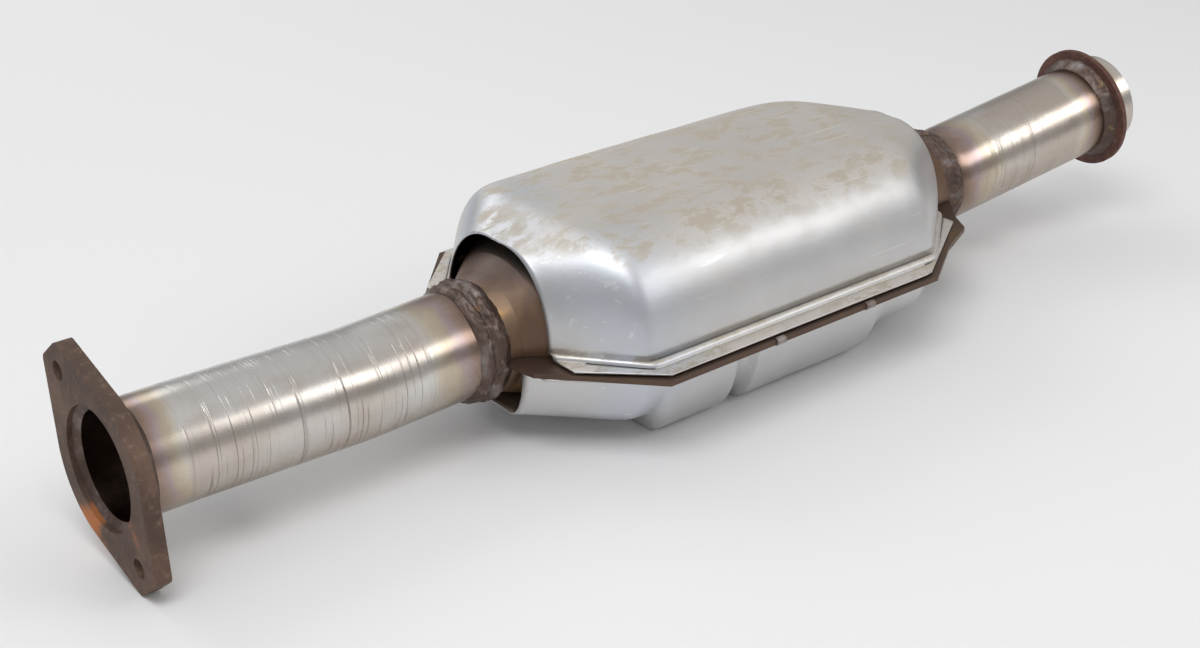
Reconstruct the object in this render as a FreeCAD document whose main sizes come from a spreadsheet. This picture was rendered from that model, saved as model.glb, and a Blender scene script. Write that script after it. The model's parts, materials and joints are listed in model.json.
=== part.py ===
"""Catalytic converter: two-bolt inlet flange, inlet pipe, pressed inner shell with two bricks,
upper and lower heat shields, outlet pipe with a round collar. Millimetres, +X along the gas flow,
+Z up, origin at the centre of the inlet flange's mating face."""
import FreeCAD
import Part
import math
import os
import Sketcher
from FreeCAD import Placement, Rotation, Vector

SIZES = [
    # inlet flange
    ("bolt_spacing", 108.0, "centre to centre of the two bolt holes"),
    ("bolt_hole", 11.0, "diameter of a bolt hole"),
    ("flange_thickness", 9.5, "inlet flange plate"),
    ("flange_turn", 40.0, "degrees that the line of bolts leans from upright"),
    ("ear_reach", 12.6, "from a bolt's centre to the flat end of its ear"),
    ("ear_half_width", 11.0, "half the flat end of an ear"),
    ("ear_corner", 5.5, "radius of an ear's corners"),
    ("waist_radius", 46.0, "round middle of the flange"),
    ("gasket_bore", 68.0, "diameter of the recess in the mating face"),
    ("gasket_depth", 6.0, "depth of that recess, and the pipe's setback"),
    # pipes
    ("pipe_diameter", 63.5, "outside diameter of both pipes"),
    ("pipe_wall", 1.8, "wall of both pipes"),
    ("first_bend", 45.0, "station where the inlet pipe starts to dip"),
    ("dip_station", 150.0, "station of the inlet pipe's lowest point"),
    ("dip", 2.6, "how far the inlet pipe dips"),
    ("level_run", 13.0, "last bend of the inlet pipe, before the shell's inlet end"),
    ("dip_radius", 260.0, "bend radius of the dip"),
    ("pipe_overlap", 9.0, "how far a pipe reaches into the shell's neck"),
    ("outlet_bend", 627.0, "station of the outlet pipe's bend"),
    ("outlet_angle", 11.3, "degrees of the outlet bend"),
    ("outlet_roll", 31.7, "degrees that the bend leans to the near side"),
    ("outlet_radius", 60.0, "bend radius of the outlet pipe"),
    ("outlet_leg", 159.5, "from the bend to the end of the outlet pipe"),
    # sensor bosses
    ("boss_diameter", 24.0, "outside of a sensor boss"),
    ("boss_hole", 16.4, "tapping size of the sensor thread"),
    ("boss_height", 10.0, "a boss above the pipe's crest"),
    ("boss_chamfer", 1.0, "chamfer round a boss's mouth"),
    ("boss_lean", 28.0, "degrees that a boss leans from straight down to the far side"),
    ("inlet_boss_station", 76.0, "inlet sensor boss along X"),
    ("outlet_boss_reach", 30.0, "outlet sensor boss, from the bend along the leg"),
    # inner shell
    ("shell_sheet", 1.6, "sheet of the inner shell"),
    ("neck_fit", 0.1, "clearance between a pipe and the shell's neck"),
    ("neck_length", 8.0, "straight neck at each end of the shell"),
    ("shell_front", 225.0, "station of the shell's inlet end"),
    ("shell_rear", 611.0, "station of the shell's outlet end"),
    ("cone_front_end", 302.0, "station where the inlet cone meets the oval body"),
    ("cone_rear_start", 488.0, "station where the oval body meets the outlet cone"),
    ("shell_half_width", 78.0, "oval body, half its width"),
    ("shell_top", 50.0, "oval body's top above the pipe axis"),
    ("shell_bottom", 40.0, "oval body's bottom below the pipe axis"),
    ("seam_drop", 2.5, "seam below the pipe axis"),
    # bricks and their mats
    ("brick_length", 84.0, "each ceramic brick"),
    ("brick_gap", 14.0, "space between the bricks"),
    ("mat_thickness", 4.0, "mat between brick and shell"),
    ("mat_inset", 6.0, "mat shorter than its brick at each end"),
    ("seal_length", 4.0, "wire-mesh seal beside the mat"),
    ("fit_gap", 0.1, "clearance round the mats"),
    # heat shields
    ("shield_sheet", 1.0, "sheet of both heat shields"),
    ("mouth_front", 250.0, "station of the upper shield's inlet mouth"),
    ("mouth_rear", 574.0, "station of both shields' outlet mouth"),
    ("mouth_half_width", 47.0, "half the width of a mouth at the seam"),
    ("mouth_height", 58.0, "height of the upper shield's mouths above the seam"),
    ("mouth_crown", 6.0, "half the level part at the top of a mouth"),
    ("dome_front", 287.0, "station where the front facets reach full width"),
    ("dome_rear", 520.0, "station where full width ends"),
    ("dome_half_width", 90.5, "half the width of the dome's foot"),
    ("dome_height", 67.5, "upper dome above the seam"),
    ("dome_crown", 40.0, "half the level top of the dome"),
    ("shoulder_power", 2.2, "squareness of the shoulders, 2 is an ellipse"),
    ("joggle_width", 4.0, "step round the dome's foot"),
    ("joggle_height", 2.6, "height of that step above the lip"),
    ("chin_front", 238.0, "station of the lower shield's inlet mouth"),
    ("chin_half_width", 39.0, "half the width of that mouth"),
    ("chin_rise", 4.5, "lower shield shallower at that mouth"),
    ("tray_depth", 55.5, "lower shield below the seam"),
    ("tray_shallow", 41.5, "depth of the lower shield's shallow ends"),
    ("tray_floor", 62.0, "half the level floor of the tray"),
    ("tray_front", 299.0, "station where the deep tray starts"),
    ("tray_rear", 485.0, "station where the deep tray ends"),
    ("tray_ramp", 11.0, "length of the slope between shallow and deep"),
    ("groove_station", 366.0, "middle of the groove across the tray"),
    ("groove_width", 18.0, "groove across the tray"),
    ("groove_depth", 8.0, "depth of that groove"),
    # lips at the seam
    ("lip_half_width", 106.0, "half the width over the shields' lips"),
    ("lip_front", 247.0, "front corner of a shield's lip"),
    ("lip_rear", 566.0, "rear corner of a shield's lip"),
    ("lip_end_half", 67.0, "half the width at those corners"),
    ("lip_corner_front", 290.0, "station where the lip reaches full width"),
    ("lip_corner_rear", 503.0, "station where it leaves full width"),
    ("inner_margin", 3.0, "inner shell's lip beyond the shields'"),
    ("tab_reach", 13.0, "inner shell's tabs beyond the shields' corners"),
    # outlet collar
    ("collar_diameter", 85.0, "round collar on the outlet pipe"),
    ("collar_thickness", 3.5, "collar plate"),
    ("collar_setback", 18.0, "collar's rear face from the pipe's end"),
    # welds
    ("weld_leg", 6.0, "leg of the fillet welds"),
    ("weld_height", 3.2, "height of the neck welds"),
    ("tack_radius", 2.4, "tack welds on the seam"),
    ("tack_length", 7.0, "length of a tack weld along the seam"),
]

doc = FreeCAD.newDocument("catalytic_converter")
sheet = doc.addObject("Spreadsheet::Sheet", "Sizes")
sheet.Label = "Sizes"
for row, (alias, number, note) in enumerate(SIZES, start=1):
    sheet.set("A%d" % row, alias)
    sheet.set("B%d" % row, str(number))
    sheet.set("C%d" % row, note)
    sheet.setAlias("B%d" % row, alias)
doc.recompute()

NODES = []


def size(alias):
    """The number that the sheet holds under this alias."""
    return float(sheet.get(alias))


def keep(thing, node):
    """Name a finished sub-part and put it on the list of nodes."""
    thing.Label = node
    NODES.append(thing)
    return thing


# ---------------------------------------------------------------- sketch helpers

def new_body(name):
    return doc.addObject("PartDesign::Body", name)


def new_sketch(body, name, role, offset=None):
    """A sketch on one of the body's own origin planes, shifted along its normal."""
    plane = [item for item in body.Origin.OriginFeatures if item.Role == role][0]
    sketch = body.newObject("Sketcher::SketchObject", name)
    sketch.AttachmentSupport = [(plane, "")]
    sketch.MapMode = "FlatFace"
    if offset:
        sketch.setExpression("AttachmentOffset.Base.z", offset)
    return sketch


def pin_point(sketch, element, end, across, upward):
    """Fix a point of the sketch by two expressions measured from the origin."""
    for axis, kind, text, on_axis in ((0, "DistanceX", across, -2), (1, "DistanceY", upward, -1)):
        if text == "0":
            sketch.addConstraint(Sketcher.Constraint("PointOnObject", element, end, on_axis))
            continue
        index = sketch.addConstraint(Sketcher.Constraint(kind, -1, 1, element, end, 1.0))
        name = "p%d_%d_%s" % (element, end, "xy"[axis])
        sketch.renameConstraint(index, name)
        sketch.setExpression("Constraints." + name, text)


def add_circle(sketch, radius, across="0", upward="0"):
    """A circle with its radius and centre bound to the sheet."""
    element = sketch.addGeometry(Part.Circle(Vector(1, 1, 0), Vector(0, 0, 1), 5.0))
    index = sketch.addConstraint(Sketcher.Constraint("Radius", element, 5.0))
    sketch.renameConstraint(index, "r%d" % element)
    sketch.setExpression("Constraints.r%d" % element, radius)
    pin_point(sketch, element, 3, across, upward)


def add_polygon(sketch, corners):
    """A closed outline whose corners are pairs of expressions."""
    count = len(corners)
    ring = [Vector(10 * math.cos(2 * math.pi * i / count), 10 * math.sin(2 * math.pi * i / count), 0)
            for i in range(count)]
    first = sketch.GeometryCount
    for i in range(count):
        sketch.addGeometry(Part.LineSegment(ring[i], ring[(i + 1) % count]))
    for i in range(count):
        following = first + (i + 1) % count
        sketch.addConstraint(Sketcher.Constraint("Coincident", first + i, 2, following, 1))
    for i, (across, upward) in enumerate(corners):
        pin_point(sketch, first + i, 1, across, upward)


def add_spine(sketch, corners, radius):
    """An open path of straight runs joined by tangent arcs of one radius, all fixed by constraints."""
    points = [Vector(x, z, 0) for x, z in corners]
    starts = [points[0]]
    arcs = []
    for before, corner, after in zip(points, points[1:], points[2:]):
        back = (before - corner).normalize()
        ahead = (after - corner).normalize()
        half_turn = (math.pi - back.getAngle(ahead)) / 2
        tangent = radius * math.tan(half_turn)
        middle_way = (back + ahead).normalize() * (radius / math.cos(half_turn) - radius)
        entry, leave = corner + back * tangent, corner + ahead * tangent
        arcs.append(Part.Arc(entry, corner + middle_way, leave))
        starts += [entry, leave]
    starts.append(points[-1])
    previous = None
    for i in range(0, len(starts), 2):
        line = sketch.addGeometry(Part.LineSegment(starts[i], starts[i + 1]))
        if previous is not None:
            sketch.addConstraint(Sketcher.Constraint("Coincident", previous[0], previous[1], line, 1))
        if i // 2 < len(arcs):
            arc = sketch.addGeometry(arcs[i // 2])
            entry_end = 1 if sketch.getPoint(arc, 1).distanceToPoint(starts[i + 1]) < 1e-6 else 2
            sketch.addConstraint(Sketcher.Constraint("Coincident", line, 2, arc, entry_end))
            previous = (arc, 3 - entry_end)
    for element in range(sketch.GeometryCount):
        sketch.addConstraint(Sketcher.Constraint("Block", element))


def add_pad(body, sketch, length):
    pad = body.newObject("PartDesign::Pad", sketch.Name + "_pad")
    pad.Profile = sketch
    pad.setExpression("Length", length)
    doc.recompute()
    return pad


def add_pocket(body, sketch, length=None, through=False):
    """Cut along the sketch's normal; a reversed cut that removes nothing is turned round."""
    before = body.Shape.Volume
    pocket = body.newObject("PartDesign::Pocket", sketch.Name + "_pocket")
    pocket.Profile = sketch
    if through:
        pocket.Type = "ThroughAll"
        pocket.Midplane = True
    else:
        pocket.setExpression("Length", length)
    doc.recompute()
    if abs(pocket.Shape.Volume - before) < 1e-3:
        pocket.Reversed = True
        doc.recompute()
    if pocket.Shape.Volume > before - 1e-3:
        raise RuntimeError(sketch.Name + " cuts nothing")
    return pocket


def add_fillet(body, base, edges, radius):
    fillet = body.newObject("PartDesign::Fillet", base.Name + "_fillet")
    fillet.Base = (base, edges)
    fillet.setExpression("Radius", radius)
    doc.recompute()
    return fillet


def revolved(name, corners, axis="H_Axis"):
    """A ring: a polygon in the XZ plane turned about the body's X axis, or Z for V_Axis."""
    body = new_body(name)
    sketch = new_sketch(body, name + "_profile", "XZ_Plane")
    add_polygon(sketch, corners)
    ring = body.newObject("PartDesign::Revolution", name + "_turn")
    ring.Profile = sketch
    ring.ReferenceAxis = (sketch, [axis])
    ring.Angle = 360.0
    doc.recompute()
    return body


# ---------------------------------------------------------------- places along the pipes

def inlet_place(station):
    """The inlet pipe's frame at a station on its dipping run."""
    run = size("dip_station") - size("first_bend")
    slope = math.degrees(math.atan2(size("dip"), run))
    fall = size("dip") * (station - size("first_bend")) / run
    return Placement(Vector(station, 0, -fall), Rotation(Vector(0, 1, 0), slope))


def outlet_place(reach):
    """The outlet leg's frame at a distance from the bend."""
    roll = Placement(Vector(), Rotation(Vector(1, 0, 0), size("outlet_roll")))
    bend = Placement(Vector(size("outlet_bend"), 0, 0), Rotation(Vector(0, 1, 0), -size("outlet_angle")))
    return roll * bend * Placement(Vector(reach, 0, 0), Rotation())


def boss_turn(place, roll):
    """Turn a frame so that its Z points out of a boss: down and leaning to the far side."""
    lean = 180.0 + size("boss_lean") - roll
    return place * Placement(Vector(), Rotation(Vector(1, 0, 0), lean))


# ---------------------------------------------------------------- inlet flange

def inlet_flange():
    """Two-bolt plate: flat-ended ears, straight flanks tangent to a round waist, recessed bore."""
    body = new_body("inlet_flange_body")
    reach = "(Sizes.bolt_spacing / 2 + Sizes.ear_reach)"
    corner = "atan2(%s; Sizes.ear_half_width)" % reach
    span = "sqrt(%s ^ 2 + Sizes.ear_half_width ^ 2)" % reach
    waist = "Sizes.waist_radius / cos(%s - acos(Sizes.waist_radius / %s))" % (corner, span)
    ear = "Sizes.ear_half_width"
    sketch = new_sketch(body, "flange_outline", "YZ_Plane")
    add_polygon(sketch, [(ear, reach), ("-" + ear, reach), ("-1 * " + waist, "0"),
                         ("-" + ear, "-" + reach), (ear, "-" + reach), (waist, "0")])
    pad = add_pad(body, sketch, "Sizes.flange_thickness")

    def upright_edges(shape, at_waist):
        found = []
        for number, edge in enumerate(shape.Edges, start=1):
            ends = [vertex.Point for vertex in edge.Vertexes]
            if len(ends) == 2 and abs(ends[0].x - ends[1].x) > 1 and (abs(ends[0].z) < 1) == at_waist:
                found.append("Edge%d" % number)
        return found

    waist_fillet = add_fillet(body, pad, upright_edges(pad.Shape, True), "Sizes.waist_radius")
    ears = []
    far_corner = size("bolt_spacing") / 2 + size("ear_reach")
    for number, edge in enumerate(waist_fillet.Shape.Edges, start=1):
        ends = [vertex.Point for vertex in edge.Vertexes]
        if abs(ends[0].x - ends[-1].x) > 1 and abs(abs(ends[0].z) - far_corner) < 0.01:
            ears.append("Edge%d" % number)
    add_fillet(body, waist_fillet, ears, "Sizes.ear_corner")
    sketch = new_sketch(body, "gasket_recess", "YZ_Plane")
    add_circle(sketch, "Sizes.gasket_bore / 2")
    add_pocket(body, sketch, "Sizes.gasket_depth")
    sketch = new_sketch(body, "pipe_socket", "YZ_Plane")
    add_circle(sketch, "Sizes.pipe_diameter / 2")
    add_pocket(body, sketch, through=True)
    sketch = new_sketch(body, "bolt_holes", "YZ_Plane")
    for side in ("", "-"):
        add_circle(sketch, "Sizes.bolt_hole / 2", upward=side + "Sizes.bolt_spacing / 2")
    add_pocket(body, sketch, through=True)
    body.Placement = Placement(Vector(), Rotation(Vector(1, 0, 0), -size("flange_turn")))
    return keep(body, "inlet_flange")


# ---------------------------------------------------------------- pipes

def swept_tube(name, start, corners, radius):
    """A tube swept along a spine of straight runs and arcs in the body's XZ plane."""
    body = new_body(name)
    spine = new_sketch(body, name + "_spine", "XZ_Plane")
    add_spine(spine, corners, radius)
    ring = new_sketch(body, name + "_ring", "YZ_Plane", start)
    add_circle(ring, "Sizes.pipe_diameter / 2")
    add_circle(ring, "Sizes.pipe_diameter / 2 - Sizes.pipe_wall")
    doc.recompute()
    pipe = body.newObject("PartDesign::AdditivePipe", name + "_sweep")
    pipe.Profile = ring
    pipe.Spine = spine
    doc.recompute()
    return body


def with_sensor_hole(body, node, place):
    """Drill the pipe where a sensor boss stands."""
    drill = doc.addObject("Part::Cylinder", node + "_drill")
    drill.setExpression("Radius", "Sizes.boss_hole / 2")
    drill.setExpression("Height", "Sizes.pipe_diameter / 2 + Sizes.boss_height")
    drill.Placement = place
    cut = doc.addObject("Part::Cut", node + "_drilled")
    cut.Base = body
    cut.Tool = drill
    doc.recompute()
    return keep(cut, node)


def inlet_pipe():
    end = size("shell_front") + size("pipe_overlap")
    last_bend = size("shell_front") - size("level_run")
    corners = [(size("gasket_depth"), 0), (size("first_bend"), 0), (size("dip_station"), -size("dip")),
               (last_bend, 0), (end, 0)]
    body = swept_tube("inlet_tube", "Sizes.gasket_depth", corners, size("dip_radius"))
    return with_sensor_hole(body, "inlet_pipe", boss_turn(inlet_place(size("inlet_boss_station")), 0))


def outlet_pipe():
    bend, angle, leg = size("outlet_bend"), math.radians(size("outlet_angle")), size("outlet_leg")
    start = size("shell_rear") - size("pipe_overlap")
    corners = [(start, 0), (bend, 0), (bend + leg * math.cos(angle), leg * math.sin(angle))]
    body = swept_tube("outlet_tube", "Sizes.shell_rear - Sizes.pipe_overlap", corners, size("outlet_radius"))
    body.Placement = Placement(Vector(), Rotation(Vector(1, 0, 0), size("outlet_roll")))
    place = boss_turn(outlet_place(size("outlet_boss_reach")), size("outlet_roll"))
    return with_sensor_hole(body, "outlet_pipe", place)


def sensor_boss(node, place):
    """Threaded boss for an oxygen sensor, saddled on the pipe."""
    body = new_body(node + "_body")
    sketch = new_sketch(body, node + "_blank", "XY_Plane", "Sizes.pipe_diameter / 2 - 3")
    add_circle(sketch, "Sizes.boss_diameter / 2")
    add_circle(sketch, "Sizes.boss_hole / 2")
    pad = add_pad(body, sketch, "Sizes.boss_height + 3")
    top = size("pipe_diameter") / 2 + size("boss_height")
    mouth = ["Edge%d" % number for number, edge in enumerate(pad.Shape.Edges, start=1)
             if edge.BoundBox.ZMin > top - 0.01]
    chamfer = body.newObject("PartDesign::Chamfer", node + "_chamfer")
    chamfer.Base = (pad, mouth)
    chamfer.setExpression("Size", "Sizes.boss_chamfer")
    doc.recompute()
    saddle = new_sketch(body, node + "_saddle", "YZ_Plane")
    add_circle(saddle, "Sizes.pipe_diameter / 2")
    add_pocket(body, saddle, through=True)
    body.Placement = place
    return keep(body, node)


def boss_weld(node, place):
    """Fillet weld round a boss, cut to the pipe's curve."""
    inner = "Sizes.boss_diameter / 2"
    outer = inner + " + Sizes.weld_leg"
    crest = "Sizes.pipe_diameter / 2"
    body = revolved(node + "_body", [(inner, crest + " - 8"), (outer, crest + " - 8"),
                                     (outer, crest + " - 1.5"), (inner, crest + " + Sizes.weld_height")],
                    axis="V_Axis")
    saddle = new_sketch(body, node + "_saddle", "YZ_Plane")
    add_circle(saddle, "Sizes.pipe_diameter / 2")
    add_pocket(body, saddle, through=True)
    body.Placement = place
    return keep(body, node)


# ---------------------------------------------------------------- ring welds and the collar

PIPE_R = "Sizes.pipe_diameter / 2"
NECK_R = "(Sizes.pipe_diameter / 2 + Sizes.neck_fit + Sizes.shell_sheet)"


def inlet_flange_weld():
    back = "Sizes.flange_thickness"
    body = revolved("flange_weld", [(back, PIPE_R), (back + " + Sizes.weld_leg", PIPE_R),
                                    (back + " + Sizes.weld_leg * 0.5", PIPE_R + " + Sizes.weld_leg * 0.4"),
                                    (back, PIPE_R + " + Sizes.weld_leg * 0.9")])
    return keep(body, "inlet_flange_weld")


def inlet_bore_weld():
    floor, wall = "Sizes.gasket_depth", "Sizes.gasket_bore / 2"
    body = revolved("bore_weld", [(floor, PIPE_R + " - Sizes.pipe_wall"), (floor, wall),
                                  (floor + " * 0.5", wall), (floor + " * 0.75", PIPE_R)])
    return keep(body, "inlet_bore_weld")


def neck_weld(node, end, way):
    """Heavy two-pass weld from the pipe onto the neck; way is - at the inlet and + at the outlet."""
    back = "-" if way == "+" else "+"
    low = "%s %s Sizes.weld_leg" % (end, way)
    corners = [(low, PIPE_R),
               (low + " * 0.65", PIPE_R + " + Sizes.weld_height"),
               (low + " * 0.3", PIPE_R + " + Sizes.weld_height * 0.75"),
               ("%s %s Sizes.weld_leg * 0.2" % (end, back), NECK_R + " + Sizes.weld_height * 0.8"),
               ("%s %s Sizes.weld_leg * 0.6" % (end, back), NECK_R),
               (end, NECK_R), (end, PIPE_R)]
    return keep(revolved(node + "_body", corners), node)


def outlet_collar():
    """Round plate threaded over the outlet pipe."""
    body = new_body("collar_body")
    sketch = new_sketch(body, "collar_outline", "YZ_Plane")
    add_circle(sketch, "Sizes.collar_diameter / 2")
    add_circle(sketch, PIPE_R)
    add_pad(body, sketch, "Sizes.collar_thickness")
    reach = size("outlet_leg") - size("collar_setback") - size("collar_thickness")
    body.Placement = outlet_place(reach)
    return keep(body, "outlet_collar")


def outlet_collar_weld():
    body = revolved("collar_weld", [("0", PIPE_R), ("0", PIPE_R + " + Sizes.weld_leg * 0.9"),
                                    ("-Sizes.weld_leg * 0.5", PIPE_R + " + Sizes.weld_leg * 0.5"),
                                    ("-Sizes.weld_leg * 1.2", PIPE_R)])
    reach = size("outlet_leg") - size("collar_setback") - size("collar_thickness")
    body.Placement = outlet_place(reach)
    return keep(body, "outlet_collar_weld")


# ---------------------------------------------------------------- pressed sheet

def soft_min(first, second, blend):
    """The smaller of two values, with a rounded change from one to the other."""
    return (first + second - math.sqrt((first - second) ** 2 + blend ** 2)) / 2


def mirrored_outline(half, low, high):
    """A prism between two heights over a plan outline that is given for one side only."""
    points = [Vector(x, y, low) for x, y in half] + [Vector(x, -y, low) for x, y in reversed(half)]
    face = Part.Face(Part.makePolygon(points + points[:1]))
    return face.extrude(Vector(0, 0, high - low))


def oval_wire(station, half_width, top, bottom, count=24):
    """An elliptical section as one closed smooth curve that starts on the near side."""
    half_height, middle = (top + bottom) / 2, (top - bottom) / 2
    points = []
    for i in range(count):
        angle = 2 * math.pi * i / count
        points.append(Vector(station, -half_width * math.cos(angle), middle + half_height * math.sin(angle)))
    curve = Part.BSplineCurve()
    curve.interpolate(points, PeriodicFlag=True)
    return Part.Wire([curve.toShape()])


def cone_sections(neck, neck_end, body_end, inset):
    """Sections from a round neck to the oval body, all smaller by the inset."""
    neck_radius = size("pipe_diameter") / 2 + size("neck_fit") + size("shell_sheet") - inset
    full = (size("shell_half_width") - inset, size("shell_top") - inset, size("shell_bottom") - inset)
    sections = [oval_wire(neck, neck_radius, neck_radius, neck_radius)]
    sections.append(oval_wire(neck_end, neck_radius, neck_radius, neck_radius))
    run = body_end - neck_end
    # share of the run, share of the width gained, share of the height gained
    for along, wide, high in ((0.12, 0.06, 0.20), (0.28, 0.26, 0.68), (0.42, 0.46, 0.84), (0.58, 0.68, 0.92),
                              (0.76, 0.88, 0.97), (0.90, 0.98, 1.0), (1.0, 1.0, 1.0)):
        values = [neck_radius + (target - neck_radius) * share
                  for target, share in zip(full, (wide, high, high))]
        sections.append(oval_wire(neck_end + run * along, *values))
    return sections


def shell_solid(inset):
    """The inner shell's outside, or its cavity when inset by the sheet."""
    front, rear, neck = size("shell_front"), size("shell_rear"), size("neck_length")
    body_front, body_rear = size("cone_front_end"), size("cone_rear_start")
    past = 1.0 if inset else 0.0
    front_cone = cone_sections(front - past, front + neck, body_front, inset)
    rear_cone = cone_sections(rear + past, rear - neck, body_rear, inset)
    pieces = [Part.makeLoft(front_cone, True, True), Part.makeLoft(rear_cone, True, True)]
    middle = Part.Face(front_cone[-1]).extrude(Vector(body_rear - body_front, 0, 0))
    return middle.fuse(pieces)


def inner_lip_outline():
    """Plan of the inner shell's lip, one side, from inlet to outlet."""
    reach, margin = size("tab_reach"), size("inner_margin")
    neck = size("pipe_diameter") / 2
    return [(size("shell_front") + size("neck_length") * 0.6, neck + 2),
            (size("lip_front") - reach, size("lip_end_half") - reach),
            (size("lip_corner_front") - margin, size("lip_half_width") + margin),
            (size("lip_corner_rear") + margin, size("lip_half_width") + margin),
            (size("lip_rear") - reach * 1.6, size("lip_end_half") + reach * 1.3),
            (size("lip_rear") + reach * 0.8, size("lip_end_half") + margin),
            (size("lip_rear") + reach * 1.5, size("lip_end_half") - reach),
            (size("shell_rear") - size("neck_length"), neck + 2)]


def inner_shell_halves():
    """Two pressed halves with lips that meet at the seam."""
    seam, sheet_size = -size("seam_drop"), size("shell_sheet")
    outside, cavity = shell_solid(0.0), shell_solid(sheet_size)
    far = size("shell_rear")
    halves = []
    for node, low, high in (("upper_inner_shell", seam, seam + sheet_size),
                            ("lower_inner_shell", seam - sheet_size, seam)):
        keep_low = seam if node.startswith("upper") else seam - far
        block = Part.makeBox(3 * far, 2 * far, far, Vector(0, -far, keep_low))
        lip = mirrored_outline(inner_lip_outline(), low, high)
        shape = outside.common(block).fuse(lip).cut(cavity).removeSplitter()
        part = doc.addObject("Part::Feature", node + "_pressing")
        part.Shape = shape.Solids[0] if len(shape.Solids) == 1 else shape
        halves.append(keep(part, node))
    return halves


def arched_wire(station, half_width, crown, height, base, way):
    """A pressed section on a level base line: rounded shoulders and a level crown; way is -1 downwards."""
    power, steps = 2.0 / size("shoulder_power"), 5
    edges, ends = [], []
    for side in (-1, 1):
        points = []
        for i in range(steps + 1):
            angle = math.pi / 2 * i / steps
            across = crown + (half_width - crown) * math.cos(angle) ** power if i < steps else crown
            points.append(Vector(station, side * across, base + way * height * math.sin(angle) ** power))
        curve = Part.BSplineCurve()
        curve.interpolate(points if side < 0 else points[::-1])
        edges.append(curve.toShape())
        ends += [points[0], points[-1]]
    top = Part.LineSegment(ends[1], ends[3]).toShape()
    foot = Part.LineSegment(ends[2], ends[0]).toShape()
    return Part.Wire([edges[0], top, edges[1], foot])


def gained(station, front_start, front_end, rear_start, rear_end):
    """Share of the full form at a station: 0 at both outer ends, 1 between the inner ones."""
    front = (station - front_start) / (front_end - front_start)
    rear = (rear_end - station) / (rear_end - rear_start)
    return max(0.0, soft_min(min(front, rear), 1.0, 0.06))


def dome_section(station):
    """Half width, crown and height of the upper shield at a station."""
    share = gained(station, size("mouth_front"), size("dome_front"), size("dome_rear"), size("mouth_rear"))
    low, full = size("mouth_height"), size("dome_height")
    height = soft_min(low + 1.3 * share * (full - low), full, 1.5)
    crown = size("mouth_crown") + share * (size("dome_crown") - size("mouth_crown"))
    return size("mouth_half_width") + share * (size("dome_half_width") - size("mouth_half_width")), crown, height


def tray_section(station):
    """Half width, floor and depth of the lower shield at a station, groove included."""
    ramp = size("tray_ramp")
    width = size("chin_half_width") if station < size("dome_front") else size("mouth_half_width")
    share = gained(station, size("chin_front"), size("dome_front"), size("dome_rear"), size("mouth_rear"))
    deep = min(station - size("tray_front"), size("tray_rear") - station) / ramp
    deep = min(max(deep, 0.0), 1.0)
    deep *= deep * (3 - 2 * deep)
    offset = abs(station - size("groove_station")) / (size("groove_width") / 2)
    groove = size("groove_depth") * max(0.0, 1.0 - offset ** 2)
    half_width = width + share * (size("dome_half_width") - width) - groove
    floor = size("tray_floor") * half_width / size("dome_half_width")
    rise = size("chin_rise") * (1 - share) if station < size("dome_front") else 0.0
    depth = size("tray_shallow") + deep * (size("tray_depth") - size("tray_shallow")) - rise - groove
    return half_width, floor, depth


def dome_stations():
    """Sections along the upper shield: at the mouths and round the creases."""
    front, rear = size("mouth_front"), size("mouth_rear")
    marks = [front + (size("dome_front") - front) * share for share in (0, 0.5, 0.85, 1.0, 1.15)]
    marks += [rear + (size("dome_rear") - rear) * share for share in (1.15, 1.0, 0.85, 0.5, 0)]
    return marks


def tray_stations():
    """Sections along the lower shield: round its creases, ramps and groove."""
    ramp, half_groove = size("tray_ramp"), size("groove_width") / 2
    marks = [size("chin_front"), size("dome_front") - 3, size("dome_front") + 4]
    marks += [size("tray_front") + ramp * share for share in (0, 0.3, 0.7, 1.0)]
    marks += [size("groove_station") + half_groove * share for share in (-1.0, -0.6, -0.2, 0.2, 0.6, 1.0)]
    marks += [size("tray_rear") - ramp * share for share in (1.0, 0.7, 0.3, 0)]
    marks += [size("dome_rear") - 4, size("dome_rear") + 3, size("mouth_rear")]
    return marks


def dome_solid(base, way, grow_width, grow_height, past):
    """Loft of the arched sections; grow values are negative for a cavity, past runs out of the mouths."""
    marks, section = (dome_stations(), dome_section) if way > 0 else (tray_stations(), tray_section)
    wires = []
    for number, station in enumerate(marks):
        half_width, crown, height = section(station)
        shift = {0: -past, len(marks) - 1: past}.get(number, 0.0)
        wires.append(arched_wire(station + shift, half_width + grow_width, crown, height + grow_height, base, way))
    return Part.makeLoft(wires, True, True)


def shield_lip_outline(way):
    """Plan of a shield's lip, one side, from inlet to outlet."""
    front, half = ("mouth_front", "mouth_half_width") if way > 0 else ("chin_front", "chin_half_width")
    return [(size(front), size(half) - 4),
            (size(front), size(half) + 1),
            (size("lip_front"), size("lip_end_half")),
            (size("lip_corner_front"), size("lip_half_width")),
            (size("lip_corner_rear"), size("lip_half_width")),
            (size("lip_rear"), size("lip_end_half")),
            (size("mouth_rear"), size("mouth_half_width") + 1),
            (size("mouth_rear"), size("mouth_half_width") - 4)]


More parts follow.
